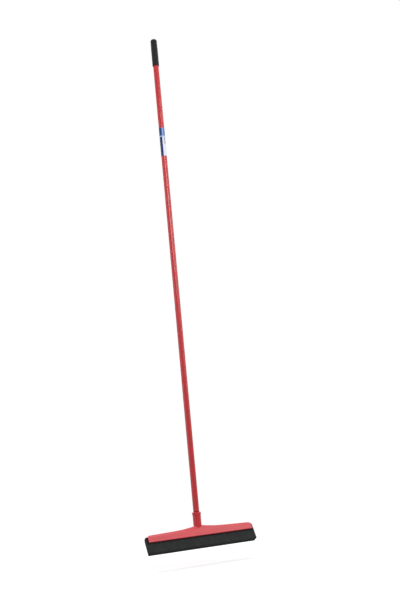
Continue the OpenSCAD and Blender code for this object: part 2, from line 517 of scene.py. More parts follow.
@dataclass(frozen=True)
class LabelFilm(Finish):
    """Glossy wrap film with a plain print.

    A blue head band, a misty line below it, and a white field with a navy panel.
    Over the print lies painted light: the band's tones round the pole darken to
    navy shade toward its sides and carry a pale painted highlight, and a short
    slate bar down one side is painted shade. The lap's edge shows as a fine line,
    painted shade of the film's step along with the adhesive's edge. Places are
    shares of the way round and of the height.
    """

    white: Colour = (0.73, 0.76, 0.83)
    mist: Colour = (0.36, 0.48, 0.70)
    blue: Colour = (0.050, 0.150, 0.450)
    highlight_blue: Colour = (0.26, 0.44, 0.78)
    navy: Colour = (0.012, 0.030, 0.140)
    slate: Colour = (0.23, 0.26, 0.33)
    band_low: float = 0.715
    band_at: tuple[float, ...] = (0.0, 0.54, 0.62, 0.665, 0.735, 0.79, 0.84, 0.93)
    line_low: float = 0.675
    panel: tuple[float, float] = (0.36, 0.675)
    # Painted shade: a slate bar down one side of the field
    shade_bar: tuple[float, float] = (0.785, 0.87)
    shade_bar_low: float = 0.42
    lap_end: float = 0.3
    lap_line: float = 0.003
    rough: float = 0.28
    gloss: float = 0.25
    grain_scale: float = 300.0
    grain_depth: float = 0.02 * MM

    def paint(self, n: Nodes) -> None:
        """Prints the film, with its painted shade and highlight, over the wrap's own u (round) and v
        (up).

        Args:
            n: The material's nodes.
        """
        uv = n.node("ShaderNodeUVMap")
        uv.uv_map = "wrap"
        parts = n.node("ShaderNodeSeparateXYZ", Vector=uv.outputs["UV"])
        u, v = parts.outputs["X"], parts.outputs["Y"]
        # The slate bar down one side, from part way up to the band, is painted shade
        shade_bar = n.mix(self.mask(n, v, self.shade_bar_low), self.white, self.slate)
        print_colour = n.mix(self.mask(n, u, *self.panel), self.white, self.navy)
        print_colour = n.mix(self.mask(n, u, *self.shade_bar), print_colour, shade_bar)
        print_colour = n.mix(self.mask(n, v, self.line_low), print_colour, self.mist)
        # Tones round the band: navy painted shade toward both sides, a pale painted highlight just past
        # the middle
        tones = (self.blue, self.navy, self.navy, self.blue, self.highlight_blue, self.blue, self.navy, self.blue)
        band = n.ramp(u, list(zip(self.band_at, tones)))
        print_colour = n.mix(self.mask(n, v, self.band_low), print_colour, band)
        # The lap's fine line: painted shade of the film's step, along with the adhesive's edge
        lap = self.mask(n, u, self.lap_end - self.lap_line, self.lap_end)
        n.surface("Base Color", n.mix(lap, print_colour, self.slate))
        n.surface("Roughness", self.rough)
        n.surface("Specular IOR Level", self.gloss)
        n.bump(n.noise(n.place(), self.grain_scale), self.grain_depth)

    @staticmethod
    def mask(n: Nodes, along: NodeSocket, start: float, end: float | None = None) -> NodeSocket:
        """A mask that is full from one place to another, or to the film's edge.

        Args:
            n: The material's nodes.
            along: Place across the film, from 0 to 1.
            start: Where it becomes full.
            end: Where it ends, if it does.

        Returns:
            The mask.
        """
        stops = [(0.0, BLACK), (start, FULL)]
        if end is not None:
            stops.append((end, BLACK))
        return n.ramp(along, stops, hard=True)


@dataclass(frozen=True)
class Finishes:
    """All finishes of the object."""

    film: Plastic = Plastic(
        "red_film", (0.50, 0.009, 0.014), rough=0.25, gloss=0.52, grain=1.5 * MM, grain_depth=0.015 * MM
    )
    # Head and socket are one moulding: the head's pinker red holds a painted sheen of the top light on
    # its tilted face, the socket's deeper red is the same plastic without it
    head: Plastic = Plastic(
        "red_moulding_painted_sheen", (0.57, 0.048, 0.060), rough=0.42, gloss=0.6, grain=0.5 * MM, grain_depth=0.03 * MM
    )
    socket: Plastic = Plastic(
        "red_socket", (0.55, 0.022, 0.030), rough=0.36, gloss=0.4, grain=0.5 * MM, grain_depth=0.03 * MM
    )
    grip: Plastic = Plastic(
        "black_grip", (0.010, 0.010, 0.011), rough=0.5, gloss=0.14, grain=0.5 * MM, grain_depth=0.06 * MM
    )
    cap: Plastic = Plastic(
        "black_cap", (0.008, 0.008, 0.009), rough=0.42, gloss=0.14, grain_depth=0.03 * MM
    )
    # Its dark red doubles as painted shade: the collar showing at the socket's mouth stands in for the
    # shadow in the gap there
    tip: Plastic = Plastic("dark_red_tip", (0.21, 0.008, 0.010), rough=0.45)
    carrier: Plastic = Plastic("black_carrier", (0.016, 0.016, 0.017), rough=0.5)
    foam: Foam = Foam("black_foam", (0.022, 0.0235, 0.023))
    label: LabelFilm = LabelFilm("label_film")
    steel: Metal = Metal("tube_steel", (0.55, 0.56, 0.58))
    zinc: Metal = Metal("zinc", (0.62, 0.63, 0.65), rough=0.28)
    alloy: Metal = Metal("alloy", (0.68, 0.69, 0.70), rough=0.36)


def dress(obj: Object, material: Material) -> None:
    """Gives an object one material."""
    obj.data.materials.clear()
    obj.data.materials.append(material)


def settle(obj: Object, body: Body, nodes: Sequence[str], material: Material) -> Object:
    """Dresses a new piece, lets it ride, and hides the CAD nodes that it stands for.

    Args:
        obj: The piece.
        body: The body it moves with.
        nodes: CAD nodes that it replaces.
        material: Its material.

    Returns:
        The piece.
    """
    dress(obj, material)
    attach(obj, body.value)
    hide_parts(*nodes)
    LOG.info("%s: %d faces, rides on %s", obj.name, len(obj.data.polygons), body.value)
    return obj


# The pole


@dataclass
class Pole:
    """Coated tube, label and threaded tip on one upright axis.

    The gap keeps surfaces that touch in the object a hair apart. The film's waves
    are in radians per metre.
    """

    x: float
    y: float
    sides: int = 96
    gap: float = 0.02 * MM
    coat_r: float = 9.85 * MM
    tube_r: float = 9.5 * MM
    tube_in: float = 8.9 * MM
    # Film
    film_rows: int = 220
    film_waver: float = 0.01 * MM
    film_waves: tuple[float, float] = (41.0, 17.3)
    film_phase: float = 1.0
    film_edge: tuple[tuple[float, float], ...] = ((0.15 * MM, 0.0), (0.05 * MM, 0.08 * MM))
    film_edge_h: float = 0.3 * MM
    # Label
    label_t: float = 0.15 * MM
    label_layer: float = 0.62
    label_rows: tuple[float, ...] = (0.0, 0.0005, 0.02, 0.25, 0.5, 0.75, 0.98, 0.9995, 1.0)
    label_sides: int = 144
    lap_start_deg: float = 95.0
    lap_deg: float = 14.0
    lap_rise_deg: float = 3.0
    lap_drop_deg: float = 0.5
    # Threaded tip
    thread_r: float = 9.4 * MM
    thread_depth: float = 1.5 * MM
    thread_pitch: float = 5.0 * MM
    thread_rows: int = 260
    thread_fade: float = 3.0 * MM
    tip_bevel: float = 0.5 * MM
    neck_depth: float = 1.2 * MM
    neck_h: float = 0.4 * MM
    neck_step: float = 0.05 * MM
    collar_h: float = 3.0 * MM
    collar_edge: tuple[float, float] = (0.35 * MM, 0.4 * MM)
    plug_h: float = 36.0 * MM
    plug_bevel: float = 1.0 * MM

    @classmethod
    def from_frame(cls) -> "Pole":
        """Reads the axis from the CAD tube."""
        lo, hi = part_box("tube_coating")
        return cls(x=(lo.x + hi.x) / 2, y=(lo.y + hi.y) / 2)

    @property
    def axis(self) -> tuple[float, float]:
        """The axis in plan."""
        return (self.x, self.y)

    @property
    def lap_end(self) -> float:
        """Where the label's lap ends, as a share of the way round."""
        return (self.lap_start_deg + self.lap_deg) / 360.0

    def film(self, material: Material) -> Object:
        """The coating: a tube whose radius wavers by a hundredth of a millimetre or two.

        The radius at height z is the nominal one less the waver times one minus
        the mean of two sines of z, and the lower end is rounded over.

        Args:
            material: The film's material.

        Returns:
            The piece.
        """
        lo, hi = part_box("tube_coating")
        z = np.linspace(lo.z + self.film_edge_h, hi.z, self.film_rows)
        fast, slow = self.film_waves
        mean = (np.sin(z * fast) + np.sin(z * slow + self.film_phase)) / 2
        outer = np.stack([self.coat_r - self.film_waver * (1 - mean), z], -1)
        lip = [(self.tube_r, lo.z), *((self.coat_r - back, lo.z + up) for back, up in self.film_edge)]
        inner = [(self.tube_r, hi.z), (self.tube_r, (lo.z + hi.z) / 2)]
        profile = np.concatenate([lip, outer, inner])
        obj = grid_mesh("pole_film", turned(profile, self.axis, self.sides), close_u=True)
        return settle(obj, Body.HANDLE, ["tube_coating"], material)

    def core(self, material: Material) -> Object:
        """The steel tube inside the film: a closed ring section turned round the axis.

        Args:
            material: The steel.

        Returns:
            The piece.
        """
        lo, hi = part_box("handle_tube")
        r = self.tube_r - self.gap
        ring = np.array([(self.tube_in, lo.z), (r, lo.z), (r, hi.z), (self.tube_in, hi.z)])
        obj = grid_mesh("pole_core", turned(ring, self.axis, self.sides), close_u=True)
        return settle(obj, Body.HANDLE, ["handle_tube"], material)

    def wrap(self, material: Material) -> Object:
        """The label: a film wound once round the pole with a lapped end.

        The radius is the pole's plus one layer of film. Over the lap it rises
        to a second layer along a short ramp and drops where the lap ends. The
        first and last rows lie a hair inside the pole, which closes the film.

        Args:
            material: The printed film.

        Returns:
            The piece.
        """
        lo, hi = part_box("label")
        deg = np.degrees(turn(self.label_sides))
        rise = np.clip((deg - self.lap_start_deg) / self.lap_rise_deg, 0, 1)
        drop = np.clip((self.lap_start_deg + self.lap_deg - deg) / self.lap_drop_deg, 0, 1)
        film = self.label_t * (self.label_layer + (1 - self.label_layer) * rise * drop)
        rows = np.array(self.label_rows)[:, None]
        inside = (rows == 0.0) | (rows == 1.0)
        r = self.coat_r + np.where(inside, -self.gap, film)
        z = lo.z + rows * (hi.z - lo.z)
        points = turned(rings(r, z), self.axis, self.label_sides)
        uv = np.stack(np.broadcast_arrays(deg / 360.0, rows), -1)
        obj = grid_mesh("label_wrap", points, close_u=True, uv=uv, sharp_deg=60)
        return settle(obj, Body.HANDLE, ["label"], material)

    def tip(self, material: Material) -> Object:
        """The threaded tip: plug, collar and a one-start thread.

        Along the thread the radius is the crest's less the depth in the roots. The
        crests grow out of a plain core over the first turn, and the roots fade out
        below the collar.

        Args:
            material: The tip's plastic.

        Returns:
            The piece.
        """
        lo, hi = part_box("thread_tip")
        top = hi.z - self.plug_h
        mouth = top - self.collar_h
        z = np.linspace(lo.z, mouth - self.neck_h, self.thread_rows)[:, None]
        lead = np.clip((z - lo.z) / self.thread_pitch, 0, 1)
        root = 1 - lead * thread_crest(z, turn(self.sides), self.thread_pitch)
        fade = np.clip((mouth - self.thread_fade - z) / self.thread_fade, 0, 1)
        bevel = self.tip_bevel - np.clip(z - lo.z, 0, self.tip_bevel)
        r = self.thread_r - self.thread_depth * root * fade - bevel
        neck, plug, wide = self.thread_r - self.neck_depth, self.tube_in - self.gap, self.coat_r
        back, up = self.collar_edge
        collar = np.array(
            [
                (neck, mouth - self.neck_h + self.neck_step),
                (neck, mouth + self.gap),
                (wide - back, mouth + self.gap),
                (wide, mouth + up),
                (wide, top - up),
                (wide - back, top - self.gap),
                (plug, top - self.gap),
                (plug, hi.z - self.plug_bevel),
                (self.tube_in - self.plug_bevel, hi.z),
            ]
        )
        points = np.concatenate([turned(part, self.axis, self.sides) for part in (rings(r, z), collar)])
        obj = grid_mesh("screw_tip", points, cap_start=True, cap_end=True)
        return settle(obj, Body.HANDLE, ["thread_tip"], material)


# The head


@dataclass
class Head:
    """Moulded head: channel with lips, raised middle, web and angled socket."""

    pole_y: float
    length: float
    pivot_z: float
    thread_pitch: float
    tilt: float = math.radians(30)
    # Roof along the blade
    lip_drop: float = 36.8 * MM
    end_drop: float = 12.6 * MM
    shoulder_rise: float = 5.0 * MM
    shoulder_at: float = 58.0 * MM
    ridge_soft: float = 1.2 * MM
    ridge_share: float = 0.8
    roof_top: float = 0.6 * MM
    corner_r: float = 8.0 * MM
    corner_rows: int = 13
    body_rows: int = 60
    # Section of the channel
    half_d: float = 13.8 * MM
    flank_mm: tuple[tuple[float, float], ...] = (
        (-36.0, 13.8), (-22.5, 13.8), (-21.0, 13.7), (-19.5, 13.35), (-18.0, 12.85), (-16.0, 12.1),
        (-14.0, 11.35), (-12.0, 10.75), (-9.0, 10.1), (-4.0, 9.0), (2.0, 7.8),
    )
    wall_in: float = 11.35 * MM
    wall_rows: int = 22
    roof_low: float = 15.4 * MM
    roof_least: float = 0.3 * MM
    roof_in: float = 7.6 * MM
    crown: tuple[tuple[float, float], ...] = ((0.45, 0.25 * MM), (0.15, 0.32 * MM))
    slope_low: float = 22.5 * MM
    rib_z: float = 24.6 * MM
    rib_h: float = 2.0 * MM
    rib_t: float = 1.2 * MM
    rib_edge: float = 0.3 * MM
    bead_r: float = 1.7 * MM
    bead_in: float = 0.4 * MM
    bead_gap: float = 0.2 * MM
    edge_r: float = 2.2 * MM
    soft_edge: float = 0.45 * MM
    # Socket
    sides: int = 96
    seat_low: float = 13.2 * MM
    roof_half: float = 10.6 * MM
    socket_r: float = 13.2 * MM
    socket_h: float = 45.7 * MM
    foot_from: float = 0.03
    foot_rows: int = 24
    barrel_from: float = 0.05
    barrel_rows: int = 14
    rim_r: float = 14.2 * MM
    rim_h: float = 9.0 * MM
    rim_round: float = 2.4 * MM
    rim_step: float = 0.9 * MM
    rim_fillet: float = 0.6 * MM
    mouth_round: float = 0.7 * MM
    # Bore
    bore_r: float = 9.48 * MM
    bore_h: float = 38.0 * MM
    bore_thread: float = 0.9 * MM
    bore_plain: tuple[float, float] = (2.5 * MM, 2.0 * MM)
    bore_fade: float = 2.0 * MM
    bore_edge: float = 0.5 * MM
    bore_rows: int = 150
    # Web
    web_r: float = 12.0 * MM
    web_d: float = 10.0 * MM
    web_fore: float = 1.5 * MM
    web_sink: float = 4.5 * MM
    web_root: float = 9.0 * MM
    web_lap: float = 1.0 * MM
    web_edge: float = 0.4 * MM
    web_trim: tuple[float, float] = (0.1 * MM, 0.2 * MM)
    web_rows: int = 26
    web_order: float = 5.0

    @classmethod
    def from_frame(cls, pole: Pole) -> "Head":
        """Reads the length and the height from the CAD head.

        Args:
            pole: The pole that the head hangs on.

        Returns:
            The head.
        """
        lo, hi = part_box("head_frame")
        pivot_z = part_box("head_socket")[1].z - cls.socket_h
        return cls(pole_y=pole.y, length=hi.x - lo.x, pivot_z=pivot_z, thread_pitch=pole.thread_pitch)

    @property
    def up(self) -> tuple[float, float, float]:
        """The head's own upward direction."""
        return (0.0, math.sin(self.tilt), math.cos(self.tilt))

    @property
    def lip_height(self) -> float:
        """Height of the lips along that direction."""
        return self.pole_y * self.up[1] + self.pivot_z * self.up[2] - self.lip_drop

    def to_world(self, local: np.ndarray) -> np.ndarray:
        """Turns head coordinates into the frame's.

        Head coordinates run along the blade, back across it and up in the
        blade's plane, from where the pole's axis meets the head; they are turned
        about the blade's length by the tilt.

        Args:
            local: Array of shape (..., 3).

        Returns:
            Array of the same shape.
        """
        c, s = math.cos(self.tilt), math.sin(self.tilt)
        x, y, z = local[..., 0], local[..., 1], local[..., 2]
        return np.stack([x, self.pole_y + y * c + z * s, self.pivot_z - y * s + z * c], -1)

    def roof(self, x: np.ndarray) -> np.ndarray:
        """Height of the roof along the blade.

        A straight rise from the ends to the shoulder, a steeper one to the
        socket, their corner rounded by a soft maximum, and quarter-round ends.

        Args:
            x: Places along the blade.

        Returns:
            Heights in head coordinates.
        """
        end, out = self.length / 2, np.abs(x)
        low = -self.end_drop + self.shoulder_rise * (end - out) / (end - self.shoulder_at)
        steep = (self.end_drop - self.shoulder_rise) / (self.shoulder_at - self.socket_r)
        high = -steep * (out - self.socket_r)
        blend = self.ridge_soft * np.log1p(np.exp(-np.abs(low - high) / self.ridge_soft))
        top = np.minimum(np.maximum(low, high) + blend * self.ridge_share, self.roof_top)
        over = np.clip(out - (end - self.corner_r), 0, self.corner_r)
        return top - (self.corner_r - np.sqrt(self.corner_r**2 - over**2))

    def roofless(self, top: np.ndarray | float) -> np.ndarray | bool:
        """Whether the roof would be thinner than its least thickness, so that there is none."""
        return top + self.roof_low <= self.roof_least

    def half_width(self, z: np.ndarray) -> np.ndarray:
        """Half depth of the outside at heights, in straight steps between the flank's points."""
        heights, halves = np.array(self.flank_mm).T * MM
        return np.interp(z, heights, halves)

    def roof_edge(self, top: float) -> tuple[float, float]:
        """Place where the slope inside the rear wall ends.

        It ends at the underside of the roof, or at the wall's own top where the
        rounded end corners have no roof.

        Args:
            top: Height of the outside.

        Returns:
            Depth and height.
        """
        z = min(top, -self.roof_low) if self.roofless(top) else -self.roof_low
        run = (-self.roof_low - z) / (self.slope_low - self.roof_low)
        return (self.roof_in + run * (self.wall_in - self.roof_in), z)

    def outside(self, top: float) -> np.ndarray:
        """Rear half of the outside for one roof height.

        From the lip round the bead, up the wall and over the rounded roof edge to
        two points of the faintly domed roof.

        Args:
            top: Height of the roof.

        Returns:
            Array of shape (n, 2) of depth and height.
        """
        bead = arc(self.half_d - self.bead_in, -self.lip_drop + self.bead_r, self.bead_r, -90, 74, n=12)
        wall_low = -self.lip_drop + 2 * self.bead_r + self.bead_gap
        wall_z = np.linspace(wall_low, top - self.edge_r, self.wall_rows)
        wall = np.stack([self.half_width(wall_z), wall_z], -1)
        half = wall[-1, 0]
        edge = arc(half - self.edge_r, top - self.edge_r, self.edge_r, 12, 84, n=8)
        crown = np.array([(half * share, top + rise) for share, rise in self.crown])
        if self.roofless(top):
            crown[:] = self.roof_edge(top)
        return np.concatenate([bead, wall, edge, crown])

    def inside(self, top: float) -> np.ndarray:
        """Rear half of the inside for one roof height, from the roof past the rib to the lip.

        Args:
            top: Height of the roof's outside.

        Returns:
            Array of shape (n, 2) of depth and height.
        """
        wall, rib, edge = self.wall_in, self.wall_in - self.rib_t, self.rib_edge
        hi, lo = -self.rib_z + self.rib_h / 2, -self.rib_z - self.rib_h / 2
        return np.array(
            [
                self.roof_edge(top),
                (wall, -self.slope_low),
                (wall, hi),
                (rib + edge, hi),
                (rib, hi - edge),
                (rib, lo + edge),
                (rib + edge, lo),
                (wall, lo),
                (wall, -self.lip_drop),
            ]
        )

    @staticmethod
    def end_faces(rows: int, cut: int, n: int, m: int) -> list[list[int]]:
        """Faces that close the channel's ends, where the walls outreach the roof.

        Args:
            rows: Number of stations.
            cut: Number of stations without a roof at either end.
            n: Number of points on each half of the outside.
            m: Number of points on each half of the inside.

        Returns:
            Faces as vertex numbers.
        """
        cols = 2 * (n + m)
        rear, front, front_in, rear_in = n - 2, n + 1, 2 * n + m - 1, 2 * n + m
        faces: list[list[int]] = []
        for row, beyond, last, way in ((cut, cut - 1, 0, -1), (rows - 1 - cut, rows - cut, rows - 1, 1)):
            a, b, c = row * cols, beyond * cols, last * cols
            found = [
                [a + j for j in (*range(rear, front + 1), front_in, rear_in)],
                [a + rear, a + rear_in, b + rear],
                [a + front_in, a + front, b + front],
                [c + j for j in (*range(rear + 1), *range(rear_in + 1, cols))],
                [c + j for j in range(front, front_in)],
            ]
            faces += [face[::way] for face in found]
        return faces

    def channel(self, material: Material) -> Object:
        """The channel: the outline of each station swept along the blade.

        The walls run on past the roof at the rounded corners of both ends.

        Args:
            material: The moulding's plastic.

        Returns:
            The piece.
        """
        x = stations(self.length / 2, self.corner_r, self.body_rows, self.corner_rows)
        tops = self.roof(x)
        outer = np.stack([self.outside(float(top)) for top in tops])
        inner = np.stack([self.inside(float(top)) for top in tops])
        flip = np.array([-1.0, 1.0])
        loops = np.concatenate([outer, outer[:, ::-1] * flip, inner[:, ::-1] * flip, inner], axis=1)
        local = np.concatenate([np.broadcast_to(x[:, None, None], (*loops.shape[:2], 1)), loops], -1)
        n, m = outer.shape[1], inner.shape[1]
        cut = self.roofless(tops)
        skip = np.zeros((len(x) - 1, loops.shape[1]), bool)
        for column in (n - 2, n - 1, n, 2 * n + m - 1):
            skip[:, column] = cut[1:] | cut[:-1]
        closing = self.end_faces(len(x), int(cut.sum()) // 2, n, m)
        obj = grid_mesh("head_channel", self.to_world(local), sharp_deg=30, skip=skip, extra=closing)
        soften(obj, self.soft_edge)
        return settle(obj, Body.HEAD, ["head_frame"], material)

    def foot(self, r: np.ndarray | float, t: np.ndarray) -> np.ndarray:
        """Height of the socket's foot on circles about the pole's axis.

        Args:
            r: Radius of each circle, of shape (n, 1), or one radius.
            t: Angles round the axis.

        Returns:
            Heights above the head's centre.
        """
        s, c = math.sin(self.tilt), math.cos(self.tilt)
        y = r * np.sin(t)
        flat = (-self.seat_low - y * s) / c
        slant = (-self.seat_low - self.roof_half - y * (s - c)) / (s + c)
        return np.maximum(flat, slant)

    def socket(self, material: Material) -> Object:
        """The socket: a barrel with a rim and a threaded bore, cut slanting at its foot.

        The foot's height at each place is the higher of two planes: one along
        the blade's roof, and one that rises behind the roof's edge at 45 degrees.
        The bore's radius grows by the thread's depth times the form of the tip's
        thread, so that the tip's crests lie in its grooves.

        Args:
            material: The moulding's plastic.

        Returns:
            The piece.
        """
        t = turn(self.sides)
        mouth, floor = self.socket_h, self.socket_h - self.bore_h
        under_r = self.socket_r * np.linspace(self.foot_from, 1.0, self.foot_rows)[:, None]
        under = rings(under_r, self.foot(under_r, t))
        rise = np.linspace(self.barrel_from, 1.0, self.barrel_rows)[:, None]
        foot = self.foot(self.socket_r, t)
        barrel = rings(np.full((1, 1), self.socket_r), foot + (mouth - self.rim_h - foot) * rise)
        fillet, outer, inner = self.rim_fillet, self.rim_round, self.mouth_round
        rim = np.concatenate(
            [
                arc(self.rim_r - fillet, mouth - self.rim_h + self.rim_step, fillet, -70, 0, n=5),
                arc(self.rim_r - outer, mouth - outer, outer, 0, 90, n=9),
                arc(self.bore_r + inner, mouth - inner, inner, 90, 180, n=6),
            ]
        )
        above, below = self.bore_plain
        z = np.linspace(mouth - above, floor + below, self.bore_rows)[:, None]
        fade = np.clip(np.minimum(z[0] - z, z - z[-1]) / self.bore_fade, 0, 1)
        crest = thread_crest(self.pivot_z + z, t, self.thread_pitch)
        bore = rings(self.bore_r + self.bore_thread * crest * fade, z)
        bottom = np.array([(self.bore_r, floor + self.bore_edge), (self.bore_r - self.bore_edge, floor)])
        profiles = (under, barrel, rim, bore, bottom)
        points = np.concatenate([turned(each, (0.0, self.pole_y), self.sides) for each in profiles])
        points = points + np.array([0.0, 0.0, self.pivot_z])
        obj = grid_mesh("socket_barrel", points, cap_start=True, cap_end=True, sharp_deg=40)
        return settle(obj, Body.HEAD, ["head_socket"], material)

    def web(self, material: Material) -> Object:
        """The web beside the socket: stacked rounded slabs with hollow-curved ends.

        At each height the plan is a superellipse of the web's order; its half
        width follows a quarter circle that is hollow outwards.

        Args:
            material: The moulding's plastic.

        Returns:
            The piece.
        """
        reach = self.socket_r - self.web_lap + self.web_r
        low, top = -self.web_sink, self.web_r - self.web_sink
        above, below = self.web_trim
        z = np.concatenate([[-self.web_root], np.linspace(low + above, top - below, self.web_rows)])
        hollow = np.sqrt(np.maximum(self.web_r**2 - (z - top) ** 2, 0))
        half = np.where(z < low, reach, reach - hollow + self.web_edge)
        plan = np.stack([np.cos(turn(self.sides)), np.sin(turn(self.sides))])
        across, along = np.sign(plan) * np.abs(plan) ** (2 / self.web_order)
        x = half[:, None] * across
        y = self.pole_y - self.web_fore + self.web_d / 2 * along
        points = np.stack(np.broadcast_arrays(x, y, self.pivot_z + z[:, None]), -1)
        obj = grid_mesh("head_web", points, cap_start=True, cap_end=True, sharp_deg=50)
        return settle(obj, Body.HEAD, ["head_socket"], material)


# The refill


@dataclass
class FoamStrip:
    """One strip of rubber foam with soft edges and a faintly uneven face.

    Each wave of the uneven face has its turns along the blade and down the
    strip, in radians per metre, and its share of the seed.
    """

    head: Head
    side: Side
    node: str
    name: str
    seed: float
    inner: float = 1.3 * MM
    outer: float = 11.0 * MM
    top: float = -15.7 * MM
    bottom: float = -69.4 * MM
    round_r: float = 1.1 * MM
    round_rows: int = 6
    body_rows: int = 90
    face_from: float = 2.2
    face_gap: float = 1.0 * MM
    face_rows: int = 16
    face_share: float = 0.8
    # Groove, slope and top, which fit the channel
    groove: float = 9.85 * MM
    groove_z: tuple[float, float] = (-23.3 * MM, -25.9 * MM)
    groove_r: float = 0.4 * MM
    slope_low: float = -22.9 * MM
    slope_trim: tuple[tuple[float, float], ...] = ((-0.6 * MM, 1.1 * MM), (0.5 * MM, -0.9 * MM))
    slope_rows: int = 4
    top_half: float = 7.2 * MM
    top_r: float = 1.0 * MM
    top_in: float = 0.8 * MM
    back_r: float = 0.5 * MM
    # Uneven face
    uneven: float = 0.22 * MM
    waves: tuple[tuple[float, float, float], ...] = (
        (61.0, 0.0, 1.0),
        (143.0, 90.0, 2.0),
        (37.0, -160.0, 0.0),
    )

    def outline(self) -> np.ndarray:
        """Rounded outline of the strip, in depth (positive outwards) and height.

        Returns:
            Array of shape (n, 2).
        """
        r, inner, outer, low = self.round_r, self.inner, self.outer, self.bottom + self.round_r
        upper, lower = self.groove_z
        face_z = np.linspace(self.bottom + self.face_from * r, lower - self.face_gap, self.face_rows)
        slope_ends = np.array([(outer, self.slope_low), (self.top_half, self.top)]) + self.slope_trim
        return np.concatenate(
            [
                arc(inner + r, low, r, 180, 270, n=6),
                arc(outer - r, low, r, 270, 360, n=6),
                np.stack([np.full_like(face_z, outer), face_z], -1),
                arc(outer - self.groove_r, lower - self.groove_r, self.groove_r, 0, 90, n=4),
                [(self.groove, lower), (self.groove, upper), (outer, upper), (outer, self.slope_low)],
                np.linspace(*slope_ends, self.slope_rows),
                arc(self.top_half - self.top_in, self.top - self.top_r, self.top_r, 28, 90, n=4),
                arc(inner + self.back_r, self.top - self.back_r, self.back_r, 90, 180, n=4),
            ]
        )

    def build(self, material: Material) -> Object:
        """The strip: its outline swept along the blade, with rounded ends.

        The outline shrinks along a quarter circle at both ends, and points move
        inwards by a smooth sum of sines of their place along the blade and down
        the strip, less than a quarter of a millimetre deep.

        Args:
            material: The foam.

        Returns:
            The piece.
        """
        lo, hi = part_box(self.node)
        end, r = (hi.x - lo.x) / 2, self.round_r
        x = stations(end, r, self.body_rows, self.round_rows)
        over = np.clip(np.abs(x) - (end - r), 0, r)
        inset = r - np.sqrt(np.maximum(r**2 - over**2, 0))
        line = self.outline()
        mid = np.array([(self.inner + self.outer) / 2, (self.top + self.bottom) / 2])
        half = np.array([(self.outer - self.inner) / 2, (self.top - self.bottom) / 2])
        scale = 1 - inset[:, None] / half
        loops = mid + (line - mid) * scale[:, None, :]
        along, down = x[:, None], line[:, 1]
        sines = [np.sin(along * a + down * b + self.seed * share) for a, b, share in self.waves]
        dip = self.uneven * (1 - sum(sines) / len(sines)) / 2
        depth = loops[..., 0] - dip * (loops[..., 0] > self.outer * self.face_share)
        local = np.stack(np.broadcast_arrays(along, depth * self.side.value, loops[..., 1]), -1)
        world = self.head.to_world(local)
        if self.side is Side.FRONT:
            world = world[::-1]
        obj = grid_mesh(self.name, world, cap_start=True, cap_end=True, sharp_deg=55)
        settle(obj, Body.REFILL, [self.node], material)
        return obj


# The stage


@dataclass(frozen=True)
class Shot:
    """The photograph's viewpoint, found by fitting the pole and the head's corners."""

    azimuth: float = math.radians(-24.7)
    elevation: float = math.radians(-10.5)
    distance: float = 2.709
    roll: float = math.radians(5.19)
    target_z: float = 0.8093
    focal_px: float = 800.0
    long_px: float = 600.0
    shift_px: tuple[float, float] = (22.89, 0.22)
    sensor_mm: float = 36.0
    clip: tuple[float, float] = (0.05, 60.0)

    def build(self, pole: Pole) -> Object:
        """Makes the camera.

        Args:
            pole: The pole that the camera aims at.

        Returns:
            The camera.
        """
        a, e = self.azimuth, self.elevation
        back = Vector((math.sin(a) * math.cos(e), -math.cos(a) * math.cos(e), math.sin(e)))
        right = (-back).cross(Vector((0, 0, 1))).normalized()
        up = right.cross(-back).normalized()
        c, s = math.cos(self.roll), math.sin(self.roll)
        right, up = right * c - up * s, right * s + up * c
        data = bpy.data.cameras.new("photo_view")
        data.sensor_width = self.sensor_mm
        data.lens = self.focal_px / self.long_px * self.sensor_mm
        data.shift_x, data.shift_y = (shift / self.long_px for shift in self.shift_px)
        data.clip_start, data.clip_end = self.clip
        camera = bpy.data.objects.new("photo_view", data)
        place = Vector((pole.x, pole.y, self.target_z)) + back * self.distance
        axes = Matrix((right, up, back)).transposed().to_4x4()
        camera.matrix_world = Matrix.Translation(place) @ axes
        bpy.context.scene.collection.objects.link(camera)
        bpy.context.scene.camera = camera
        return camera


@dataclass(frozen=True)
class Lamp:
    """One soft box."""

    name: str
    place: tuple[float, float, float]
    aim: tuple[float, float, float]
    size: tuple[float, float]
    power: float

    def build(self) -> Object:
        """Makes the lamp.

        Returns:
            The lamp.
        """
        data = bpy.data.lights.new(self.name, "AREA")
        data.shape = "RECTANGLE"
        data.size, data.size_y = self.size
        data.energy = self.power
        lamp = bpy.data.objects.new(self.name, data)
        lamp.location = self.place
        lamp.rotation_euler = (Vector(self.aim) - Vector(self.place)).to_track_quat("-Z", "Y").to_euler()
        bpy.context.scene.collection.objects.link(lamp)
        LOG.info("lamp %s: %.0f W", self.name, self.power)
        return lamp


def seen_rays(tree: NodeTree) -> NodeSocket:
    """Adds a factor that is 1 for camera, glossy and transmission rays.

    Args:
        tree: The node tree of a material or world.

    Returns:
        The factor.
    """
    path = tree.nodes.new("ShaderNodeLightPath")
    factor = path.outputs["Is Camera Ray"]
    for ray in ("Is Glossy Ray", "Is Transmission Ray"):
        either = tree.nodes.new("ShaderNodeMath")
        either.operation = "MAXIMUM"
        tree.links.new(factor, either.inputs[0])
        tree.links.new(path.outputs[ray], either.inputs[1])
        factor = either.outputs["Value"]
    return factor


def blend_surface(tree: NodeTree, factor: NodeSocket, pair: Sequence[NodeSocket], output: str) -> None:
    """Mixes two shaders into a tree's output.

    Args:
        tree: The node tree of a material or world.
        factor: 0 for the first shader, 1 for the second.
        pair: The two shaders.
        output: Name of the output node.
    """
    mixed = tree.nodes.new("ShaderNodeMixShader")
    for socket, source in zip(mixed.inputs, (factor, *pair)):
        tree.links.new(source, socket)
    tree.links.new(mixed.outputs["Shader"], tree.nodes[output].inputs["Surface"])


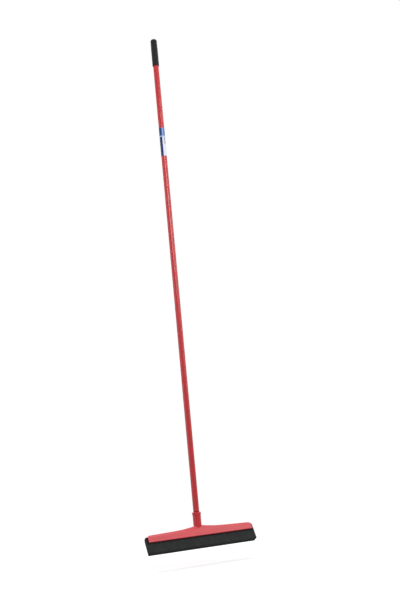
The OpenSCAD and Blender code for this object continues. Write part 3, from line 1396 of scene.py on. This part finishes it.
@dataclass(frozen=True)
class Studio:
    """Pale floor, white surroundings and soft boxes.

    The tool hangs from its cap, so the floor lies as far below the blade as the
    head needs to come off the pole.
    """

    floor_size: float = 6.0
    floor_z: float = -0.052
    floor_colour: Colour = (0.90, 0.90, 0.90)
    bounce_colour: Colour = (0.30, 0.30, 0.30)
    floor_rough: float = 0.9
    floor_glow: float = 0.22
    fade: tuple[float, float] = (0.45, 1.25)
    world_strength: float = 0.34
    lamps: tuple[Lamp, ...] = (
        Lamp("top", (-0.1, 0.15, 3.3), (0, 0, 0), (3.4, 2.6), 50.0),
        Lamp("left", (-2.6, 0.37, 1.3), (0, 0, 0.8), (1.0, 2.4), 18.0),
        Lamp("right", (2.01, -1.69, 1.7), (0, 0, 0.9), (0.5, 2.2), 24.0),
        Lamp("front", (-0.22, -2.49, 1.90), (0, 0, 1.0), (0.6, 1.0), 30.0),
        Lamp("back", (0.6, 2.4, 1.6), (0, 0, 0.9), (1.2, 1.8), 16.0),
    )

    def build(self) -> None:
        """Makes the floor, the world and the lamps."""
        self.floor()
        self.world()
        for lamp in self.lamps:
            lamp.build()

    def paper(self) -> Material:
        """Makes the floor's material.

        It is pale where it is seen and darker for light that bounces on, glows a
        little to the camera, and fades out far from the object.

        Returns:
            The material.
        """
        n = Nodes("floor_paper")
        bounce = n.node("ShaderNodeLightPath").outputs["Is Diffuse Ray"]
        n.surface("Base Color", n.mix(bounce, self.floor_colour, self.bounce_colour))
        n.surface("Roughness", self.floor_rough)
        n.surface("Specular IOR Level", 0.0)
        glow = n.node("ShaderNodeMapRange", Value=seen_rays(n.tree), To_Max=self.floor_glow)
        n.surface("Emission Color", FULL)
        n.surface("Emission Strength", glow.outputs["Result"])
        far = n.node("ShaderNodeVectorMath", Vector=n.place())
        far.operation = "LENGTH"
        near, rim = self.fade
        fade = n.node("ShaderNodeMapRange", Value=far.outputs["Value"], From_Min=near, From_Max=rim)
        fade.interpolation_type = "SMOOTHSTEP"
        clear = n.node("ShaderNodeBsdfTransparent")
        pair = (n.shader.outputs["BSDF"], clear.outputs["BSDF"])
        blend_surface(n.tree, fade.outputs["Result"], pair, "Material Output")
        return n.material

    def floor(self) -> None:
        """Makes the floor: one square of paper, as part of the stage."""
        half = self.floor_size / 2
        corners = [(-half, -half, 0), (half, -half, 0), (half, half, 0), (-half, half, 0)]
        mesh = bpy.data.meshes.new("floor")
        mesh.from_pydata(corners, [], [(0, 1, 2, 3)])
        floor = bpy.data.objects.new("floor", mesh)
        floor.location.z = self.floor_z
        bpy.context.scene.collection.objects.link(floor)
        dress(floor, self.paper())

    def world(self) -> None:
        """Makes the surroundings: dim as a light, white where they are seen."""
        world = bpy.data.worlds.new("studio")
        bpy.context.scene.world = world
        world.use_nodes = True
        tree = world.node_tree
        sky, seen = tree.nodes["Background"], tree.nodes.new("ShaderNodeBackground")
        for background, strength in ((sky, self.world_strength), (seen, 1.0)):
            background.inputs["Color"].default_value = (*FULL, 1.0)
            background.inputs["Strength"].default_value = strength
        pair = (sky.outputs["Background"], seen.outputs["Background"])
        blend_surface(tree, seen_rays(tree), pair, "World Output")


def dress_cad(frame: dict, finishes: Finishes) -> None:
    """Gives the CAD pieces that stay their finish.

    Args:
        finishes: The finishes.
    """
    looks: dict[str, Finish] = {
        "grip_sleeve": finishes.grip,
        "hang_cap": finishes.cap,
        "tip_rivet": finishes.zinc,
        "refill_carrier": finishes.carrier,
        "refill_rivets": finishes.alloy,
    }
    for node, finish in looks.items():
        dress(frame["nodes"][node], finish.material())
        LOG.info("%s: CAD shape kept", node)


def main() -> None:
    """Builds the whole scene in order."""
    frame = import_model()
    finishes = Finishes()
    pole = Pole.from_frame()
    Shot().build(pole)
    Studio().build()
    dress_cad(frame, finishes)
    pole.film(finishes.film.material())
    pole.core(finishes.steel.material())
    pole.wrap(replace(finishes.label, lap_end=pole.lap_end).material())
    pole.tip(finishes.tip.material())
    head = Head.from_frame(pole)
    moulding = finishes.head.material()
    head.channel(moulding)
    head.socket(finishes.socket.material())
    head.web(moulding)
    foam = replace(finishes.foam, up=head.up, lip=head.lip_height).material()
    FoamStrip(head, Side.FRONT, "front_strip", "foam_front", seed=0.7).build(foam)
    FoamStrip(head, Side.REAR, "rear_strip", "foam_rear", seed=2.1).build(foam)
    bpy.context.scene.view_settings.view_transform = "Standard"
    bpy.context.view_layer.update()


if __name__ == "__main__":
    logging.basicConfig(level=logging.INFO, format="%(message)s")
    main()
